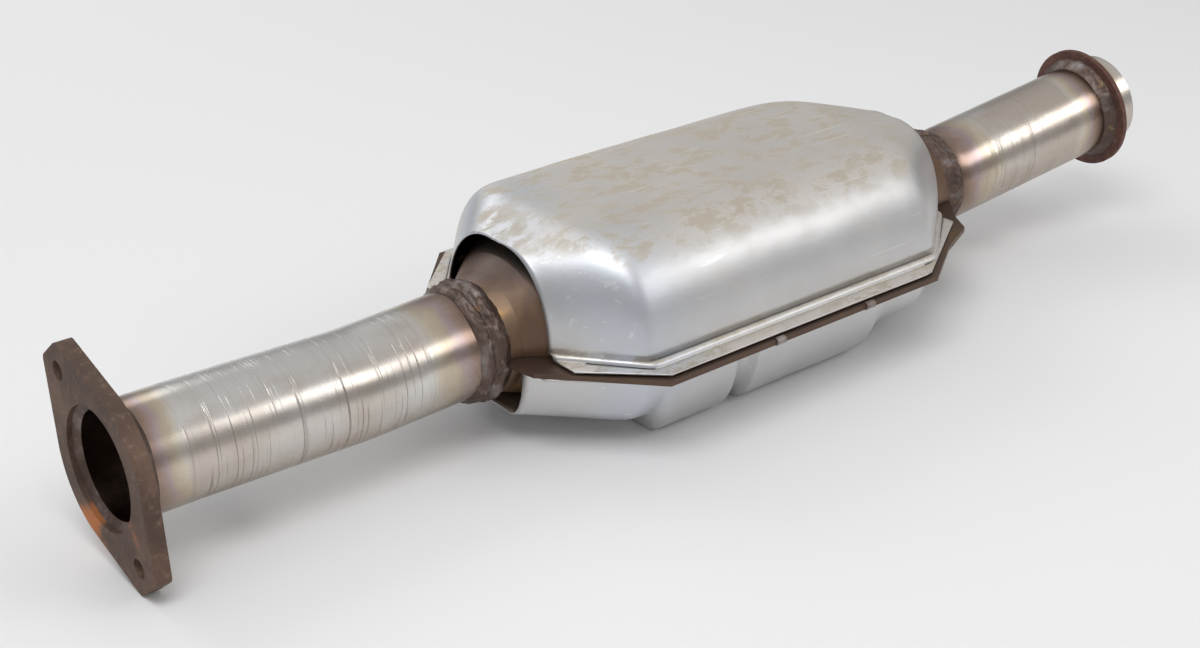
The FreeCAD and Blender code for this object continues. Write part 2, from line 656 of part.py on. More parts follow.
def heat_shield(node, way):
    """Pressed shield: arched dome or grooved tray, a step round its foot, a flat lip."""
    sheet_size, step, lift = size("shield_sheet"), size("joggle_height"), size("shell_sheet")
    length, width = 2 * size("mouth_rear"), 4 * size("lip_half_width")
    base = -size("seam_drop") + way * lift
    outside = dome_solid(base, way, 0.0, -lift, 0.0)
    cavity = dome_solid(base, way, -sheet_size, -lift - sheet_size, 1.0)
    lip_low, lip_high = sorted((base, base + way * sheet_size))
    lip = mirrored_outline(shield_lip_outline(way), lip_low, lip_high)

    def foot(grow, tall, past):
        low = base if way > 0 else base - tall
        slab = Part.makeBox(length, width, tall, Vector(0, -width / 2, low))
        return dome_solid(base, way, grow, -lift, past).common(slab)

    joggle = foot(size("joggle_width"), step, 0.0)
    hollow = foot(size("joggle_width") - sheet_size, step - sheet_size, 1.0)
    shape = outside.fuse([lip, joggle]).cut(cavity).cut(hollow)
    part = doc.addObject("Part::Feature", node + "_pressing")
    part.Shape = shape.Solids[0] if len(shape.Solids) == 1 else shape
    return keep(part, node)


# ---------------------------------------------------------------- bricks, mats and seals

def brick_sizes():
    """Half width, half height and centre height of the cavity round the bricks."""
    sheet_size, fit = size("shell_sheet"), size("fit_gap")
    half_height = (size("shell_top") + size("shell_bottom")) / 2 - sheet_size - fit
    return size("shell_half_width") - sheet_size - fit, half_height, (size("shell_top") - size("shell_bottom")) / 2


def oval_bar(name, start, length, shrink):
    """An elliptical bar along X as an extruded Part ellipse, smaller by the shrink."""
    width, height, middle = brick_sizes()
    ellipse = doc.addObject("Part::Ellipse", name + "_oval")
    ellipse.MajorRadius = width - shrink
    ellipse.MinorRadius = height - shrink
    ellipse.Placement = Placement(Vector(start, 0, middle), Rotation(Vector(0, 1, 0), Vector(0, 0, 1), Vector(1, 0, 0)))
    bar = doc.addObject("Part::Extrusion", name)
    bar.Base = ellipse
    bar.DirMode = "Custom"
    bar.Dir = Vector(1, 0, 0)
    bar.LengthFwd = length
    bar.Solid = True
    doc.recompute()
    return bar


def oval_ring(node, start, length):
    """The space between a brick and the shell, filled over a length."""
    outer = oval_bar(node + "_outer", start, length, 0.0)
    inner = oval_bar(node + "_inner", start, length, size("mat_thickness"))
    ring = doc.addObject("Part::Cut", node + "_ring")
    ring.Base = outer
    ring.Tool = inner
    doc.recompute()
    return keep(ring, node)


def bricks():
    """Two bricks in line, each with its mat and a mesh seal at the mat's outer end."""
    length, inset, seal = size("brick_length"), size("mat_inset"), size("seal_length")
    middle = (size("cone_front_end") + size("cone_rear_start")) / 2
    starts = {"front": middle - size("brick_gap") / 2 - length, "rear": middle + size("brick_gap") / 2}
    for name, start in starts.items():
        keep(oval_bar(name + "_brick", start, length, size("mat_thickness")), name + "_substrate")
        oval_ring(name + "_mat", start + inset, length - 2 * inset)
        seal_start = start + inset - seal if name == "front" else start + length - inset
        oval_ring(name + "_mesh_seal", seal_start, seal)


# ---------------------------------------------------------------- tack welds on the seam

def tack_welds(neighbours):
    """Small beads over the stacked lips' edges."""
    radius, bead_length = size("tack_radius"), size("tack_length")
    reach = size("lip_half_width") + size("inner_margin") - 1
    length = size("lip_corner_rear") - size("lip_corner_front")
    for side, way in (("near", -1), ("far", 1)):
        for number, share in ((1, 0.38), (2, 0.73)):
            node = "%s_tack_weld_%d" % (side, number)
            centre = Vector(size("lip_corner_front") + share * length, way * reach, -size("seam_drop"))
            bead = Part.makeCylinder(radius, bead_length, centre - Vector(bead_length / 2, 0, 0), Vector(1, 0, 0))
            for other in neighbours:
                bead = bead.cut(other.Shape)
            part = doc.addObject("Part::Feature", node + "_bead")
            part.Shape = max(bead.Solids, key=lambda solid: solid.Volume)
            keep(part, node)


# ---------------------------------------------------------------- build

inlet_flange()
inlet_pipe()
inlet_flange_weld()
inlet_bore_weld()
inlet_boss_place = boss_turn(inlet_place(size("inlet_boss_station")), 0)
sensor_boss("inlet_sensor_boss", inlet_boss_place)
boss_weld("inlet_boss_weld", inlet_boss_place)
neck_weld("inlet_neck_weld", "Sizes.shell_front", "-")
halves = inner_shell_halves()
bricks()
shields = [heat_shield("upper_heat_shield", 1), heat_shield("lower_heat_shield", -1)]
tack_welds(halves + shields)
neck_weld("outlet_neck_weld", "Sizes.shell_rear", "+")
outlet_pipe()
outlet_boss_place = boss_turn(outlet_place(size("outlet_boss_reach")), size("outlet_roll"))
sensor_boss("outlet_sensor_boss", outlet_boss_place)
boss_weld("outlet_boss_weld", outlet_boss_place)
outlet_collar()
outlet_collar_weld()
doc.recompute()

for thing in doc.Objects:
    if "Invalid" in thing.State or "Error" in thing.State:
        raise RuntimeError("%s failed: %s" % (thing.Label, thing.State))
os.makedirs("parts", exist_ok=True)
for thing in NODES:
    shape = thing.Shape
    if shape.isNull() or not shape.isValid():
        raise RuntimeError(thing.Label + " has no valid shape")
    shape.exportStep("parts/%s.step" % thing.Label)
    box = shape.BoundBox
    print("%-20s %d solid  volume %9.0f  x %7.1f %7.1f  y %7.1f %7.1f  z %7.1f %7.1f" % (
        thing.Label, len(shape.Solids), shape.Volume, box.XMin, box.XMax, box.YMin, box.YMax, box.ZMin, box.ZMax))
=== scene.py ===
# %% [markdown]
# # A catalytic converter, dressed for the studio
# The solids come from CAD and stay where they are. This lesson gives each of them a finish made
# from nodes, adds the lumpy welds and the smooth pressed skins that a solid modeller leaves plain,
# and sets up a pale table, soft lamps and a camera. First the frame is loaded, and its box is kept,
# because nothing that we add may make the object bigger.

# %% Load the frame
import json
import math

import bmesh
import bpy
from mathutils import Matrix, Vector, noise


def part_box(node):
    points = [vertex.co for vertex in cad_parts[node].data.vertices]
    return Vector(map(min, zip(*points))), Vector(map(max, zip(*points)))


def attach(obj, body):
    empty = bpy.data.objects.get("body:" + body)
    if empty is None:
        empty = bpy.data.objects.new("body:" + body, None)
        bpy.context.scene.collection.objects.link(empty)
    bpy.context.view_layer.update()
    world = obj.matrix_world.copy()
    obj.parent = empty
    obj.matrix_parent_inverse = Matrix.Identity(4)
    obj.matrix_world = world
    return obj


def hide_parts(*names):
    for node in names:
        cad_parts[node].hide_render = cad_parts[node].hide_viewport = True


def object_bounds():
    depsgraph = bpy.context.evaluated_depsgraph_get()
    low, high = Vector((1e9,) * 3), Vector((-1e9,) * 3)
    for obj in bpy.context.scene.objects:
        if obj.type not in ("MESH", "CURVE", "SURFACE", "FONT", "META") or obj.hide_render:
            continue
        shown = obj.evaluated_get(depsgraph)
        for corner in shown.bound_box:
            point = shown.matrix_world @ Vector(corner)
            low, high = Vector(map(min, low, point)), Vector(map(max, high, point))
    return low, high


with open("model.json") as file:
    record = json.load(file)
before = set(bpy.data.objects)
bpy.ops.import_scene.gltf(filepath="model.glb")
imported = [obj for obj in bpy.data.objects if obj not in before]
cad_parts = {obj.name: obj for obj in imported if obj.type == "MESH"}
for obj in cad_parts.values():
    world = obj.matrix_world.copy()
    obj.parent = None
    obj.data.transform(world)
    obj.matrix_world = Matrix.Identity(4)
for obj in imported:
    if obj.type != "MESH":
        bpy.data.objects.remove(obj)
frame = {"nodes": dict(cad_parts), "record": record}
cad_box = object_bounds()
nodes = frame["nodes"]
MM = 0.001
print("loaded", len(nodes), "nodes in the box", cad_box)

# %% [markdown]
# ## Helpers for node trees
# A material is a small graph. Writing every link by hand is long, so one short class adds a node,
# fills its inputs from keywords or from other nodes, and gives back its first output.
# The graph reads from the object's own coordinates in metres, so a stain keeps its real size
# whatever the piece is, and it stays in place when the camera moves.

# %% A small class that builds node graphs
class Graph:
    """A material's node tree with short ways to add what the finishes below need."""

    def __init__(self, name):
        self.material = bpy.data.materials.new(name)
        self.material.use_nodes = True
        self.tree = self.material.node_tree
        self.shader = self.tree.nodes["Principled BSDF"]
        coordinates = self.tree.nodes.new("ShaderNodeTexCoord")
        self.place = coordinates.outputs["Object"]
        self.normal = coordinates.outputs["Normal"]

    def put(self, value, socket):
        """Link an output into a socket, or write a plain value there."""
        if isinstance(value, bpy.types.NodeSocket):
            self.tree.links.new(value, socket)
        else:
            socket.default_value = value

    def math(self, operation, first, second=0.0):
        node = self.tree.nodes.new("ShaderNodeMath")
        node.operation = operation
        self.put(first, node.inputs[0])
        self.put(second, node.inputs[1])
        return node.outputs[0]

    def axis(self, name, source=None):
        """One coordinate, X, Y or Z, of the place or of another vector."""
        node = self.tree.nodes.new("ShaderNodeSeparateXYZ")
        self.put(source or self.place, node.inputs[0])
        return node.outputs[name]

    def stretched(self, scale):
        """The place with each axis scaled, for grain that runs one way."""
        node = self.tree.nodes.new("ShaderNodeMapping")
        self.put(self.place, node.inputs["Vector"])
        node.inputs["Scale"].default_value = scale
        return node.outputs[0]

    def noise(self, scale, detail=4.0, rough=0.55, vector=None, distortion=0.0):
        node = self.tree.nodes.new("ShaderNodeTexNoise")
        self.put(vector or self.place, node.inputs["Vector"])
        node.inputs["Scale"].default_value = scale
        node.inputs["Detail"].default_value = detail
        node.inputs["Roughness"].default_value = rough
        node.inputs["Distortion"].default_value = distortion
        return node.outputs[0]

    def cells(self, scale):
        node = self.tree.nodes.new("ShaderNodeTexVoronoi")
        self.put(self.place, node.inputs["Vector"])
        node.inputs["Scale"].default_value = scale
        return node.outputs["Distance"]

    def between(self, value, low, high):
        """0 below low, 1 above high; the two may be swapped to fall instead of rise."""
        node = self.tree.nodes.new("ShaderNodeMapRange")
        node.interpolation_type = "SMOOTHSTEP"
        self.put(value, node.inputs["Value"])
        node.inputs["From Min"].default_value = min(low, high)
        node.inputs["From Max"].default_value = max(low, high)
        node.inputs["To Min"].default_value = 0.0 if low < high else 1.0
        node.inputs["To Max"].default_value = 1.0 if low < high else 0.0
        return node.outputs[0]

    def band(self, value, low, high, soft):
        """1 between low and high, falling to 0 over the soft distance outside them."""
        rise = self.between(value, low - soft, low)
        fall = self.between(value, high + soft, high)
        return self.math("MULTIPLY", rise, fall)

    def mix(self, factor, first, second):
        """Blend two colours."""
        node = self.tree.nodes.new("ShaderNodeMix")
        node.data_type = "RGBA"
        self.put(factor, node.inputs[0])
        for value, socket in ((first, node.inputs[6]), (second, node.inputs[7])):
            self.put(value if isinstance(value, bpy.types.NodeSocket) else (*value, 1.0), socket)
        return node.outputs[2]

    def ramp(self, value, stops):
        """A colour ramp from pairs of position and colour."""
        node = self.tree.nodes.new("ShaderNodeValToRGB")
        self.put(value, node.inputs[0])
        elements = node.color_ramp.elements
        while len(elements) < len(stops):
            elements.new(0.5)
        for element, (position, colour) in zip(elements, stops):
            element.position = position
            element.color = (*colour, 1.0)
        return node.outputs[0]

    def bump(self, height, depth, strength=1.0, under=None):
        """Relief of a depth in metres, on top of another relief if one is given."""
        node = self.tree.nodes.new("ShaderNodeBump")
        node.inputs["Strength"].default_value = strength
        node.inputs["Distance"].default_value = depth
        self.put(height, node.inputs["Height"])
        if under:
            self.put(under, node.inputs["Normal"])
        return node.outputs[0]

    def finish(self, colour, roughness, metal, normal=None):
        self.put(colour, self.shader.inputs["Base Color"])
        self.put(roughness, self.shader.inputs["Roughness"])
        self.put(metal, self.shader.inputs["Metallic"])
        if normal:
            self.put(normal, self.shader.inputs["Normal"])
        return self.material


# %% [markdown]
# ## Satin aluminised sheet for the heat shields
# Aluminised steel is a soft, bright metal with a faint grain from the rolling mill. Years of heat
# leave it mottled: tan stains on the top, where spray dried, a bluish cast near the hot inlet end
# and small dark pits. We mix large and small noise for the stains, hold them to the parts that
# face up, and keep the relief very shallow so that the long highlights stay soft.

# %% The shield finish
def shield_finish(name, stain_strength):
    g = Graph(name)
    rise = g.axis("Z", g.normal)
    facing_up = g.between(rise, 0.60, 0.90)
    patches = g.noise(13.0, 6.0, 0.62, vector=g.stretched((0.7, 1.0, 1.0)), distortion=0.8)
    flecks = g.noise(78.0, 7.0, 0.72, vector=g.stretched((0.60, 1.0, 1.0)), distortion=0.25)
    stain = g.math("MULTIPLY", g.between(patches, 0.26, 0.54), g.between(flecks, 0.45, 0.58))
    stain = g.math("MULTIPLY", stain, g.math("ADD", g.math("MULTIPLY", facing_up, 0.92), 0.08))
    stain = g.math("MULTIPLY", stain, stain_strength)
    cloud = g.noise(22.0, 4.0, 0.55)
    metal = g.mix(cloud, (0.56, 0.555, 0.560), (0.72, 0.710, 0.700))
    # Painted light in part: faces that point up are painted lighter, which stands in for light; their warmer
    # tone is the crown's own.
    metal = g.mix(g.math("MULTIPLY", facing_up, 0.8), metal, (0.80, 0.755, 0.700))
    bluish = g.between(g.noise(9.0, 2.0, 0.4), 0.44, 0.62)
    bluish = g.math("MULTIPLY", bluish, g.between(g.axis("X"), 0.345, 0.275))
    metal = g.mix(g.math("MULTIPLY", bluish, 0.45), metal, (0.56, 0.63, 0.74))
    tan = g.mix(flecks, (0.52, 0.465, 0.375), (0.61, 0.55, 0.455))
    colour = g.mix(g.math("MULTIPLY", stain, 0.75), metal, tan)
    pits = g.between(g.cells(170.0), 0.06, 0.02)
    sparse = g.between(g.noise(30.0, 2.0), 0.48, 0.58)
    pits = g.math("MULTIPLY", pits, sparse)
    colour = g.mix(g.math("MULTIPLY", pits, 0.6), colour, (0.24, 0.21, 0.19))
    lines = g.noise(210.0, 2.0, 0.5, vector=g.stretched((0.06, 0.9, 1.0)), distortion=0.5)
    scratches = g.between(lines, 0.66, 0.72)
    colour = g.mix(g.math("MULTIPLY", scratches, 0.35), colour, (0.90, 0.90, 0.90))
    weathered = g.math("ADD", g.math("MULTIPLY", facing_up, 0.10), 0.37)
    roughness = g.math("ADD", g.math("MULTIPLY", stain, 0.20), weathered)
    roughness = g.math("ADD", roughness, g.math("MULTIPLY", cloud, 0.10))
    relief = g.bump(g.noise(16.0, 2.0, 0.5), 0.0022, 0.55)
    relief = g.bump(g.noise(110.0, 4.0, 0.6), 0.00022, 0.5, relief)
    relief = g.bump(g.noise(520.0, 3.0, 0.6, vector=g.stretched((0.2, 1.0, 1.0))), 0.00005, 0.5, relief)
    return g.finish(colour, roughness, 1.0, relief)


upper_shield_finish = shield_finish("upper_shield_finish", 1.0)
lower_shield_finish = shield_finish("lower_shield_finish", 0.35)

# %% [markdown]
# ## Stainless pipe with heat tint
# Welding and hot gas colour stainless steel in bands, as oxide films of growing thickness: straw,
# gold, bronze, purple, blue, then brown scale beside the weld. A colour ramp that reads the
# distance from a weld gives the whole sequence at once. Thin dark rings from a pipe cutter and the
# bending tool come from noise that is stretched so far round the pipe that it turns into lines.

# %% The pipe finish
TINT = [(0.0, (0.150, 0.100, 0.078)), (0.22, (0.230, 0.158, 0.120)), (0.38, (0.350, 0.250, 0.205)),
        (0.50, (0.440, 0.350, 0.350)), (0.60, (0.540, 0.450, 0.350)), (0.74, (0.630, 0.560, 0.455)),
        (0.88, (0.670, 0.635, 0.580)), (1.0, (0.690, 0.670, 0.640))]


def pipe_finish(name, tints, rings, ring_strength):
    """A tube's finish: tints are pairs of weld station and reach, rings the scored stretch."""
    g = Graph(name)
    x = g.axis("X")
    wobble = g.math("MULTIPLY", g.math("SUBTRACT", g.noise(20.0, 5.0, 0.6), 0.5), 0.75)
    colour = g.mix(g.noise(16.0, 4.0), (0.63, 0.605, 0.575), (0.75, 0.74, 0.725))
    beige = g.between(g.noise(9.0, 5.0, 0.62, vector=g.stretched((0.5, 1.0, 1.0))), 0.46, 0.66)
    colour = g.mix(g.math("MULTIPLY", beige, 0.7), colour, (0.50, 0.410, 0.325))
    for station, reach in tints:
        distance = g.math("DIVIDE", g.math("ABSOLUTE", g.math("SUBTRACT", x, station)), reach)
        distance = g.math("ADD", distance, wobble)
        tint = g.ramp(distance, TINT)
        colour = g.mix(g.between(distance, 1.0, 0.70), colour, tint)
    lines = g.noise(1.0, 3.0, 0.75, vector=g.stretched((430.0, 7.0, 7.0)), distortion=0.3)
    lines = g.between(lines, 0.56, 0.64)
    fine = g.between(g.noise(1.0, 2.0, 0.6, vector=g.stretched((1500.0, 14.0, 14.0))), 0.58, 0.72)
    scored = g.band(x, rings[0], rings[1], 0.02)
    marks = g.math("MULTIPLY", g.math("MULTIPLY", lines, scored), ring_strength)
    flank = g.between(g.axis("Z", g.normal), 0.95, 0.35)
    marks = g.math("MULTIPLY", marks, g.math("ADD", g.math("MULTIPLY", flank, 0.65), 0.35))
    colour = g.mix(marks, colour, (0.20, 0.165, 0.14))
    colour = g.mix(g.math("MULTIPLY", fine, 0.22), colour, (0.32, 0.28, 0.25))
    # Painted shade: faces that look down are painted a darker brown, mottled by noise.
    underside_shade = g.between(g.axis("Z", g.normal), 0.15, -0.7)
    shade_mottle = g.math("ADD", g.math("MULTIPLY", g.noise(60.0, 5.0, 0.7), 0.7), 0.2)
    colour = g.mix(g.math("MULTIPLY", underside_shade, shade_mottle), colour, (0.36, 0.285, 0.215))
    roughness = g.math("ADD", 0.17, g.math("MULTIPLY", g.noise(40.0, 3.0), 0.18))
    roughness = g.math("ADD", roughness, g.math("MULTIPLY", marks, 0.25))
    relief = g.bump(g.math("MULTIPLY", marks, -1.0), 0.0003, 0.7)
    relief = g.bump(g.noise(24.0, 2.0), 0.0008, 0.45, relief)
    return g.finish(colour, roughness, 1.0, relief)


inlet_pipe_finish = pipe_finish("inlet_pipe_finish", [(0.008, 0.034), (0.228, 0.050)], (0.048, 0.172), 0.62)
outlet_pipe_finish = pipe_finish("outlet_pipe_finish", [(0.606, 0.062), (0.752, 0.026)], (0.655, 0.70), 0.35)

# %% [markdown]
# ## Rusted plate
# The flange and the collar are plain mild steel, which rusts evenly to a dull brown, redder on a
# fresh edge. Rust isn't metallic any more: it scatters light, so metallic stays near zero and the
# roughness is high, with a pitted relief at two scales.

# %% The rust finish
def rust_finish(name, dark, light, bright_edge):
    g = Graph(name)
    blotches = g.noise(30.0, 6.0, 0.65)
    grit = g.noise(240.0, 5.0, 0.7)
    colour = g.mix(g.between(blotches, 0.35, 0.68), dark, light)
    colour = g.mix(g.math("MULTIPLY", g.between(grit, 0.50, 0.75), 0.45), colour, (0.33, 0.21, 0.15))
    fresh = g.math("MULTIPLY", g.between(g.noise(16.0, 4.0), 0.54, 0.66), bright_edge)
    low = g.between(g.axis("Z"), 0.0, -0.035)
    colour = g.mix(g.math("MULTIPLY", fresh, low), colour, (0.50, 0.17, 0.045))
    bare = g.between(g.noise(110.0, 4.0, 0.7), 0.66, 0.74)
    colour = g.mix(g.math("MULTIPLY", bare, 0.4), colour, (0.36, 0.33, 0.31))
    roughness = g.math("ADD", 0.52, g.math("MULTIPLY", grit, 0.3))
    relief = g.bump(grit, 0.0005, 0.7)
    relief = g.bump(blotches, 0.0007, 0.5, relief)
    return g.finish(colour, roughness, 0.25, relief)


flange_finish = rust_finish("flange_finish", (0.085, 0.050, 0.036), (0.165, 0.100, 0.070), 1.0)
collar_finish = rust_finish("collar_finish", (0.105, 0.045, 0.035), (0.185, 0.085, 0.062), 0.0)

# %% [markdown]
# ## Darkened inner shell, welds and boss
# The inner shell runs red hot, so its stainless sheet has gone brown and grey, with gold and orange
# left where it stayed cooler. Weld metal is a duller grey with brown scale. The sensor boss is a
# machined lump that has gone almost black.

# %% Finishes for the hot parts
def hot_sheet_finish():
    g = Graph("hot_sheet_finish")
    big = g.noise(16.0, 5.0, 0.6, distortion=0.5)
    colour = g.ramp(big, [(0.28, (0.115, 0.085, 0.075)), (0.45, (0.19, 0.115, 0.075)),
                          (0.56, (0.25, 0.165, 0.105)), (0.64, (0.42, 0.25, 0.09)),
                          (0.75, (0.20, 0.17, 0.15))])
    seam = g.band(g.axis("Z"), -4.4 * MM, -0.4 * MM, 1.0 * MM)
    colour = g.mix(g.math("MULTIPLY", seam, 0.75), colour, (0.085, 0.056, 0.043))
    # Darker towards the top: from 20 mm up the sheet is mixed towards dark grey.
    top_darkening = g.between(g.axis("Z"), 0.020, 0.048)
    colour = g.mix(g.math("MULTIPLY", top_darkening, 0.7), colour, (0.10, 0.09, 0.09))
    roughness = g.math("ADD", 0.36, g.math("MULTIPLY", g.noise(60.0, 4.0), 0.22))
    relief = g.bump(g.noise(70.0, 4.0), 0.0005, 0.5)
    return g.finish(colour, roughness, 0.75, relief)


def weld_finish(name, base, glint):
    g = Graph(name)
    patches = g.noise(55.0, 5.0, 0.6)
    scale = (base[0] * 1.7, base[1] * 1.55, base[2] * 1.5)
    colour = g.ramp(patches, [(0.30, base), (0.52, scale), (0.70, glint)])
    spots = g.between(g.noise(130.0, 3.0), 0.62, 0.70)
    colour = g.mix(g.math("MULTIPLY", spots, 0.5), colour, (0.30, 0.19, 0.10))
    roughness = g.math("ADD", 0.34, g.math("MULTIPLY", g.noise(90.0, 4.0), 0.25))
    relief = g.bump(g.noise(160.0, 4.0, 0.6), 0.0006, 0.6)
    return g.finish(colour, roughness, 0.7, relief)


def boss_finish():
    g = Graph("boss_finish")
    wear = g.noise(80.0, 5.0)
    colour = g.ramp(wear, [(0.35, (0.020, 0.019, 0.019)), (0.7, (0.060, 0.052, 0.047))])
    relief = g.bump(g.noise(220.0, 3.0), 0.0003, 0.5)
    return g.finish(colour, g.math("ADD", 0.45, g.math("MULTIPLY", wear, 0.2)), 0.6, relief)


inner_shell_finish = hot_sheet_finish()
dark_weld_finish = weld_finish("dark_weld_finish", (0.075, 0.055, 0.046), (0.30, 0.27, 0.26))
bright_weld_finish = weld_finish("bright_weld_finish", (0.120, 0.100, 0.088), (0.36, 0.34, 0.32))
dark_boss_finish = boss_finish()

# %% [markdown]
# ## The hidden filling
# Two ceramic bricks, a fibre mat round each and a ring of knitted wire sit inside and can only be
# seen down the pipes. They still get their own finish: a fine square grid for the brick's channels,
# loose fibres for the mat and a tight mesh for the ring.

# %% Finishes for the filling
def brick_finish():
    g = Graph("brick_finish")
    pitch = 1.3 * MM
    walls = []
    for axis in ("Y", "Z"):
        wave = g.math("PINGPONG", g.axis(axis), pitch / 2)
        walls.append(g.between(wave, pitch * 0.10, pitch * 0.05))
    wall = g.math("MAXIMUM", walls[0], walls[1])
    # Painted shade: the open channels between the walls are painted dark, standing in for the shade inside
    # them; the walls carry the ceramic's own colour.
    colour = g.mix(wall, (0.10, 0.08, 0.065), (0.52, 0.44, 0.33))
    return g.finish(colour, 0.85, 0.0, g.bump(wall, 0.0004, 0.6))


def mat_finish():
    g = Graph("mat_finish")
    fibres = g.noise(260.0, 4.0, 0.7, vector=g.stretched((0.3, 1.0, 1.0)))
    colour = g.mix(fibres, (0.46, 0.44, 0.39), (0.72, 0.70, 0.65))
    return g.finish(colour, 0.95, 0.0, g.bump(fibres, 0.0006, 0.8))


def mesh_finish():
    g = Graph("mesh_finish")
    knots = g.cells(900.0)
    # Painted shade: the gaps between the knots are painted dark, standing in for the shade between the
    # wires.
    colour = g.mix(knots, (0.45, 0.43, 0.41), (0.10, 0.095, 0.09))
    return g.finish(colour, 0.4, 0.9, g.bump(knots, 0.0005, 0.9))


ceramic_finish = brick_finish()
fibre_finish = mat_finish()
wire_finish = mesh_finish()

# %% [markdown]
# ## Dressing the solids
# A table says which finish goes on which node. Replacing the material in the object's slot leaves
# the mesh and its place alone, which is all that a carried-over solid allows.

# %% Give every solid its finish
FINISHES = {
    "inlet_flange": flange_finish, "outlet_collar": collar_finish,
    "inlet_pipe": inlet_pipe_finish, "outlet_pipe": outlet_pipe_finish,
    "upper_heat_shield": upper_shield_finish, "lower_heat_shield": lower_shield_finish,
    "upper_inner_shell": inner_shell_finish, "lower_inner_shell": inner_shell_finish,
    "inlet_sensor_boss": dark_boss_finish, "outlet_sensor_boss": dark_boss_finish,
    "front_substrate": ceramic_finish, "rear_substrate": ceramic_finish,
    "front_mat": fibre_finish, "rear_mat": fibre_finish,
    "front_mesh_seal": wire_finish, "rear_mesh_seal": wire_finish,
}


def dress(name, node_object):
    finish = FINISHES.get(name)
    if finish is None:
        finish = bright_weld_finish if "tack" in name else dark_weld_finish
    slots = node_object.data.materials
    slots.clear()
    slots.append(finish)


for name, node_object in nodes.items():
    dress(name, node_object)
print("dressed", len(nodes), "solids")

# %% [markdown]
# ## A helper that turns a grid of points into a mesh
# Pressed sheet and weld beads are both surfaces that can be walked in rows and columns, so one
# helper makes the faces for both. Rows may close on themselves, as a ring does. The faces are
# shaded smooth, and the piece rides on the only body, while the CAD node that it stands for is hidden.

# %% Grid to mesh
def grid_piece(name, rows, closed_rows, closed_columns, finish, node):
    """A mesh from rows of points; it stands in for a CAD node, which it hides."""
    mesh = bpy.data.meshes.new(name)
    shape = bmesh.new()
    grid = [[shape.verts.new(point) for point in row] for row in rows]
    tall, wide = len(grid), len(grid[0])
    for i in range(tall if closed_rows else tall - 1):
        for j in range(wide if closed_columns else wide - 1):
            first, second = grid[i], grid[(i + 1) % tall]
            shape.faces.new((first[j], second[j], second[(j + 1) % wide], first[(j + 1) % wide]))
    bmesh.ops.recalc_face_normals(shape, faces=shape.faces)
    for face in shape.faces:
        face.smooth = True
    shape.to_mesh(mesh)
    shape.free()
    mesh.materials.append(finish)
    piece = bpy.data.objects.new(name, mesh)
    bpy.context.collection.objects.link(piece)
    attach(piece, "root")
    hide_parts(node)
    return piece


def soft_min(first, second, blend):
    """The smaller of two values, with a rounded change from one to the other."""
    return (first + second - math.sqrt((first - second) ** 2 + blend ** 2)) / 2


def ripple(*place, scale=1.0, seed=0.0):
    """Smooth noise from -1 to 1 at a place, the same in each run."""
    return noise.noise(Vector(place) * scale + Vector((seed, 3.1 * seed, 7.7)))


# %% [markdown]
# ## The pressed heat shields
# Each shield is one sheet: a flat lip, a rolled bead round the foot, a wall that curls into a broad
# crown, and two ends that narrow to a mouth round the pipe. A press makes no sharp folds, so the
# crease between an end and the side is crisp at the foot and melts away towards the shoulder. A
# solid modeller lofts such a form from flat strips. Here we walk across it in sections and let the
# softness of the crease grow with height, which gives the flowing highlight of real pressed sheet.

# %% Sizes of the shields, read from their solids
UP_LOW, UP_HIGH = [Vector(corner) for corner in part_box("upper_heat_shield")]
DOWN_LOW, DOWN_HIGH = [Vector(corner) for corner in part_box("lower_heat_shield")]
LIP_HALF = UP_HIGH.y
LIP_AT_MOUTH, FRONT_CUT, REAR_CUT, REAR_STEP = 67.0 * MM, 39.0 / 43.0, 39.0 / 63.0, 8.0 * MM
MOUTH_HALF, CHIN_HALF, CHIN_RISE = 47.0 * MM, 39.0 * MM, 4.5 * MM
FOOT_HALF = LIP_HALF - 15.5 * MM
MOUTH_START, MOUTH_END = UP_LOW.x + 3.0 * MM, UP_HIGH.x
FACET_FRONT, FACET_REAR = MOUTH_START + 37.0 * MM, MOUTH_END - 54.0 * MM
MOUTH_DROP, DOME_GAIN = 9.5 * MM, 12.4 * MM
MOUTH_CROWN, CROWN_GAIN = 6.0 * MM, 34.0 * MM
SHOULDER_POWER = 2.2
TRAY_FRONT, TRAY_REAR, TRAY_RAMP, TRAY_DROP = 299.0 * MM, 485.0 * MM, 11.0 * MM, 14.0 * MM
GROOVE_AT, GROOVE_HALF, GROOVE_DEEP = 366.0 * MM, 9.0 * MM, 8.0 * MM
FLOOR_SHARE = 0.685
SHEET, BEAD_WIDE, BEAD_TALL = 1.0 * MM, 4.2 * MM, 2.7 * MM
print("upper shield from", UP_LOW, "to", UP_HIGH)


def lip_reach(x):
    """Half the width over the lip at a station: cut corners at both ends."""
    front = LIP_AT_MOUTH + (x - UP_LOW.x) * FRONT_CUT
    rear = LIP_AT_MOUTH + (UP_HIGH.x - REAR_STEP - x) * REAR_CUT
    return min(front, rear, LIP_HALF)


def share_of_full(x, start, softness):
    """0 at a mouth, 1 along the parallel sides."""
    front = (x - start) / (FACET_FRONT - start)
    rear = (MOUTH_END - x) / (MOUTH_END - FACET_REAR)
    return max(0.0, soft_min(min(front, rear), 1.0, softness))


def shoulder(half, crown, height, turn):
    """A point of the curled wall: turn 0 is the foot and 1 the edge of the crown."""
    angle, power = turn * math.pi / 2, 2.0 / SHOULDER_POWER
    across = max(math.cos(angle), 0.0) ** power
    return crown + (half - crown) * across, height * math.sin(angle) ** power


def upper_form(x, turn):
    """Half width, crown and height of the upper shield at a station."""
    share = share_of_full(x, MOUTH_START, 0.05 + 0.22 * turn)
    full = UP_HIGH.z - UP_LOW.z
    height = soft_min(full - MOUTH_DROP + DOME_GAIN * share, full, 1.5 * MM)
    half = MOUTH_HALF + share * (FOOT_HALF - MOUTH_HALF)
    return half, MOUTH_CROWN + CROWN_GAIN * share, height


